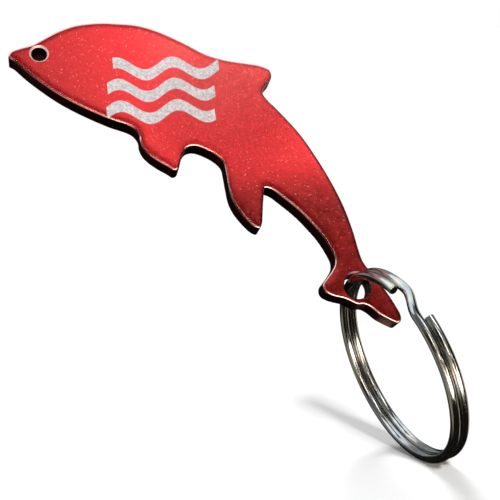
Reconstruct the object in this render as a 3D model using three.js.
// Souvenir bottle opener on a split key ring: one stamped plate and one coiled wire ring.
//
// Units are millimetres. +Z is up, +X is right and +Y runs away from the viewer.
// The plate stands in the XZ plane with its nose up and to the left, and the ring hangs
// from the tail hole. The origin is on the flat back of the plate, in the middle of the
// fish, where a display pad holds it.
import * as THREE from "three";

// ---- the plate ----
const bodyLength = 77.4; // nose tip to the tip of the right fluke
const plateThickness = 3.5;
const edgeRound = 0.35; // tumbled edge all the way round
const eyeAcross = 0.87; // place of the eye along the head, as a share of the nose's reach
const eyeRadius = 1.3;
const eyeDepth = 2.7; // flat-bottomed drilling from the front
const eyeChamfer = 0.3;
const eyeWeb = 0.12; // flat left between the eye's chamfer and the rounded top edge
const tailChamfer = 0.25;
const tailWeb = 0.95; // metal between the tail hole and the notch of the flukes
const sideWeb = 1.5; // metal between the tail hole and the right edge

// ---- the split ring ----
const ringDiameter = 32; // over the wire
const wireDiameter = 1.5;
const turnGap = 0.08; // between the two turns
const joggleAngle = 64; // degrees from the top of the ring, on the near side
const joggleSpan = 20; // degrees over which the wire crosses from one turn to the other
const endClearance = 2.5; // degrees from the joggle to each wire end

// ---- how the ring sits in the tail hole ----
const ringLean = 9; // degrees by which the ring's foot leans towards the viewer
const seatGap = 0.3; // wire to the wall of the hole
const seatRise = 0.84; // wire centre above the hole's centre, at the front end of its wall

// ---- how finely round shapes are cut ----
const outlineSteps = 3; // pieces between two points of the outline
const holeSides = 32;
const wireSides = 12;
const turnSteps = 60; // pieces in one turn of the ring

// ---- where the origin lies from the tail hole, on a fish of the drawn length ----
const holdX = -14;
const holdZ = 42;

const drawnLength = 77.4; // the length at which the outline below is drawn
const turnPitch = wireDiameter + turnGap;
const tailRadius = Math.hypot(turnPitch / 2, seatRise) + wireDiameter / 2 + seatGap;
const meanRadius = (ringDiameter - wireDiameter) / 2;
const ringForward = meanRadius * Math.sin(THREE.MathUtils.degToRad(ringLean));
const fromEdge = ringForward - (plateThickness / 2 - tailChamfer);
const ringDrop = Math.sqrt(meanRadius ** 2 - fromEdge ** 2) - seatRise;

// The leaping dolphin, clockwise from the tip of the nose, about the tail hole.
const beakAndCrown = [
  [-37.5, 56.9], [-36.8, 57.7], [-35.0, 57.9], [-33.1, 57.9], [-31.0, 58.4], [-28.5, 59.0],
  [-25.4, 59.3], [-22.9, 59.0], [-20.4, 58.4], [-18.0, 57.5], [-15.2, 56.3], [-12.4, 54.3],
  [-8.8, 50.6], [-5.9, 47.2],
];
const dorsalFin = [
  [-2.7, 44.9], [0.2, 43.4], [2.4, 42.1], [3.4, 40.9], [3.1, 39.5], [1.6, 38.5], [0.4, 37.5],
  [0.4, 36.3],
];
const back = [
  [1.4, 33.5], [3.1, 28.0], [3.9, 22.9], [4.3, 18.0], [4.3, 13.3], [3.8, 8.9], [3.0, 4.7],
  [2.9, 3.4],
];
const rightFluke = [
  [4.3, -3.2], [4.55, -5.4], [4.6, -7.0], [4.2, -7.9], [3.5, -8.1], [2.8, -7.5], [1.3, -5.7],
];
const leftFluke = [
  [-4.6, 0.0], [-5.5, 1.2], [-5.2, 2.4], [-4.1, 3.1], [-2.9, 3.8], [-1.8, 4.7],
];
const belly = [
  [-1.3, 5.8], [-1.3, 7.6], [-1.6, 10.0], [-2.3, 12.5], [-3.3, 15.3], [-4.7, 18.1],
  [-6.0, 20.3],
];
const pectoralFin = [
  [-7.0, 20.9], [-7.9, 19.5], [-9.2, 17.1], [-10.2, 15.3], [-10.9, 14.8], [-11.6, 15.4],
  [-12.3, 17.0], [-12.9, 19.2], [-13.0, 21.3], [-12.5, 23.7], [-11.9, 26.0],
];
const openerNotch = [
  [-11.6, 27.6], [-12.2, 29.2], [-13.5, 30.8], [-14.9, 31.9], [-16.3, 32.0], [-17.3, 31.3],
  [-18.3, 30.0],
];
const hook = [
  [-19.1, 29.0], [-19.8, 28.9], [-20.5, 29.8], [-21.6, 31.2], [-22.6, 32.8], [-23.1, 34.2],
  [-23.1, 35.5], [-22.8, 36.8],
];
const jaw = [
  [-23.3, 38.4], [-26.2, 41.0], [-29.6, 44.5], [-32.3, 47.8], [-34.3, 50.9], [-35.9, 53.8],
  [-36.9, 56.0],
];

// Every point keeps its place on the fish as the length changes, but the metal beside and
// under the tail hole keeps its width. Angles run anticlockwise from the right.
const bodyScale = bodyLength / drawnLength;
const scaled = (points) => points.map(([x, z]) => [x * bodyScale, z * bodyScale]);
const besideHole = (degrees, width) => {
  const a = THREE.MathUtils.degToRad(degrees);
  const reach = tailRadius + width;
  return [reach * Math.cos(a), reach * Math.sin(a)];
};
const outlinePoints = [
  ...scaled([...beakAndCrown, ...dorsalFin, ...back]),
  besideHole(32, sideWeb),
  besideHole(-2, sideWeb),
  ...scaled(rightFluke),
  besideHole(-84, tailWeb + 0.9),
  besideHole(-96, tailWeb + 0.1),
  besideHole(-115, tailWeb),
  besideHole(-157, tailWeb),
  ...scaled([...leftFluke, ...belly, ...pectoralFin, ...openerNotch, ...hook, ...jaw]),
];

// A closed smooth line through the points, as [x, z] pairs.
function smoothLoop(points, steps) {
  const knots = points.map(([x, z]) => new THREE.Vector3(x, 0, z));
  const curve = new THREE.CatmullRomCurve3(knots, true, "centripetal");
  const count = points.length * steps;
  const loop = [];
  for (let i = 0; i < count; i++) {
    const p = curve.getPoint(i / count);
    loop.push([p.x, p.z]);
  }
  return loop;
}

function circleLoop(x, z, radius, sides) {
  const loop = [];
  for (let i = 0; i < sides; i++) {
    const a = (-2 * Math.PI * i) / sides;
    loop.push([x + radius * Math.cos(a), z + radius * Math.sin(a)]);
  }
  return loop;
}

// Moves a clockwise loop towards the material inside it by a distance.
function insetLoop(loop, distance) {
  return loop.map(([x, z], i) => {
    const [x0, z0] = loop[(i + loop.length - 1) % loop.length];
    const [x1, z1] = loop[(i + 1) % loop.length];
    const before = new THREE.Vector2(x - x0, z - z0).normalize();
    const after = new THREE.Vector2(x1 - x, z1 - z).normalize();
    const along = before.clone().add(after).normalize();
    const reach = distance / Math.max(0.75, along.dot(before));
    return [x + along.y * reach, z - along.x * reach];
  });
}

// A plate in the XZ plane from loops at several depths. Each layer is
// { y, outer: loop, holes: [loops] } and the layers run from the front to the back.
// A hole that the next layer doesn't have ends there in a flat floor.
function layeredPlate(layers) {
  const position = [];
  const index = [];
  const rings = layers.map(({ y, outer, holes }) =>
    [outer, ...holes].map((loop) => {
      const start = position.length / 3;
      loop.forEach(([x, z]) => position.push(x, y, z));
      return { start, count: loop.length };
    }),
  );
  for (let k = 0; k + 1 < rings.length; k++) {
    rings[k].forEach(({ start, count }, loopNumber) => {
      if (loopNumber >= rings[k + 1].length) {
        for (let i = 1; i + 1 < count; i++) {
          index.push(start, start + i + 1, start + i);
        }
        return;
      }
      const next = rings[k + 1][loopNumber].start;
      for (let i = 0; i < count; i++) {
        const j = (i + 1) % count;
        if (loopNumber === 0) {
          index.push(start + i, start + j, next + i, start + j, next + j, next + i);
        } else {
          index.push(start + i, next + i, start + j, start + j, next + i, next + j);
        }
      }
    });
  }
  for (const k of [0, rings.length - 1]) {
    const { outer, holes } = layers[k];
    const toVector = ([x, z]) => new THREE.Vector2(x, z);
    const faces = THREE.ShapeUtils.triangulateShape(
      outer.map(toVector),
      holes.map((loop) => loop.map(toVector)),
    );
    const place = rings[k].flatMap(({ start, count }) =>
      Array.from({ length: count }, (_, i) => start + i),
    );
    for (const [a, b, c] of faces) {
      const [ax, az] = [position[3 * place[a]], position[3 * place[a] + 2]];
      const [bx, bz] = [position[3 * place[b]], position[3 * place[b] + 2]];
      const [cx, cz] = [position[3 * place[c]], position[3 * place[c] + 2]];
      const turnsLeft = (bx - ax) * (cz - az) - (bz - az) * (cx - ax) > 0;
      const facesFront = k === 0;
      if (turnsLeft === facesFront) {
        index.push(place[a], place[b], place[c]);
      } else {
        index.push(place[a], place[c], place[b]);
      }
    }
  }
  const geometry = new THREE.BufferGeometry();
  geometry.setAttribute("position", new THREE.Float32BufferAttribute(position, 3));
  geometry.setIndex(index);
  geometry.computeVertexNormals();
  return geometry;
}

// Height at which the outline's upper edge passes over a place x.
function topEdgeAt(loop, x) {
  let top = -Infinity;
  loop.forEach(([x0, z0], i) => {
    const [x1, z1] = loop[(i + 1) % loop.length];
    if (x0 <= x !== x1 <= x) {
      top = Math.max(top, z0 + ((x - x0) / (x1 - x0)) * (z1 - z0));
    }
  });
  return top;
}

const outline = smoothLoop(outlinePoints, outlineSteps);
const noseReach = Math.min(...outline.map(([x]) => x));
const eyeX = noseReach * eyeAcross;
const eyeZ = topEdgeAt(outline, eyeX) - edgeRound - eyeWeb - eyeChamfer - eyeRadius;

function openerBody() {
  const layer = (depth) => {
    // depth runs from 0 at a face to edgeRound where the rounded edge meets the side
    const side = edgeRound - Math.sqrt(edgeRound ** 2 - (edgeRound - depth) ** 2);
    const tail = circleLoop(0, 0, tailRadius + Math.max(0, tailChamfer - depth), holeSides);
    return { outer: insetLoop(outline, side), holes: [tail] };
  };
  const eye = (depth) =>
    circleLoop(eyeX, eyeZ, eyeRadius + Math.max(0, eyeChamfer - depth), holeSides);
  const depths = [0, 0.3 * edgeRound, edgeRound];
  const front = [...depths, eyeDepth].map((depth) => {
    const { outer, holes } = layer(Math.min(depth, edgeRound));
    return { y: -plateThickness / 2 + depth, outer, holes: [...holes, eye(depth)] };
  });
  const rear = [...depths]
    .reverse()
    .map((depth) => ({ y: plateThickness / 2 - depth, ...layer(depth) }));
  return layeredPlate([...front, ...rear]);
}

// The centre line of the ring's wire: two turns side by side, with one crossing.
class RingWire extends THREE.Curve {
  getPoint(t, target = new THREE.Vector3()) {
    const first = joggleAngle - joggleSpan / 2 - endClearance;
    const last = joggleAngle + joggleSpan / 2 + endClearance - 720;
    const degrees = first + (last - first) * t;
    const crossing = (joggleAngle - 360 + joggleSpan / 2 - degrees) / joggleSpan;
    const share = THREE.MathUtils.smoothstep(crossing, 0, 1);
    const a = THREE.MathUtils.degToRad(degrees);
    return target.set(
      turnPitch * (share - 0.5),
      -ringForward - meanRadius * Math.sin(a),
      -ringDrop + meanRadius * Math.cos(a),
    );
  }
}

function splitRing() {
  const section = new THREE.Shape().absarc(0, 0, wireDiameter / 2, 0, 2 * Math.PI);
  return new THREE.ExtrudeGeometry(section, {
    steps: 2 * turnSteps,
    curveSegments: wireSides,
    extrudePath: new RingWire(),
  });
}

const anodisedRed = new THREE.MeshStandardMaterial({
  color: 0xb8262e,
  metalness: 0.85,
  roughness: 0.38,
});
const platedSteel = new THREE.MeshStandardMaterial({
  color: 0xc9c8c4,
  metalness: 1,
  roughness: 0.18,
});

const opener = new THREE.Group();
opener.name = "souvenir_bottle_opener";

const body = new THREE.Mesh(openerBody(), anodisedRed);
body.name = "opener_body";
opener.add(body);

const ring = new THREE.Mesh(splitRing(), platedSteel);
ring.name = "split_ring";
opener.add(ring);

for (const piece of [body, ring]) {
  piece.geometry.translate(-holdX * bodyScale, -plateThickness / 2, -holdZ * bodyScale);
}

export default opener;
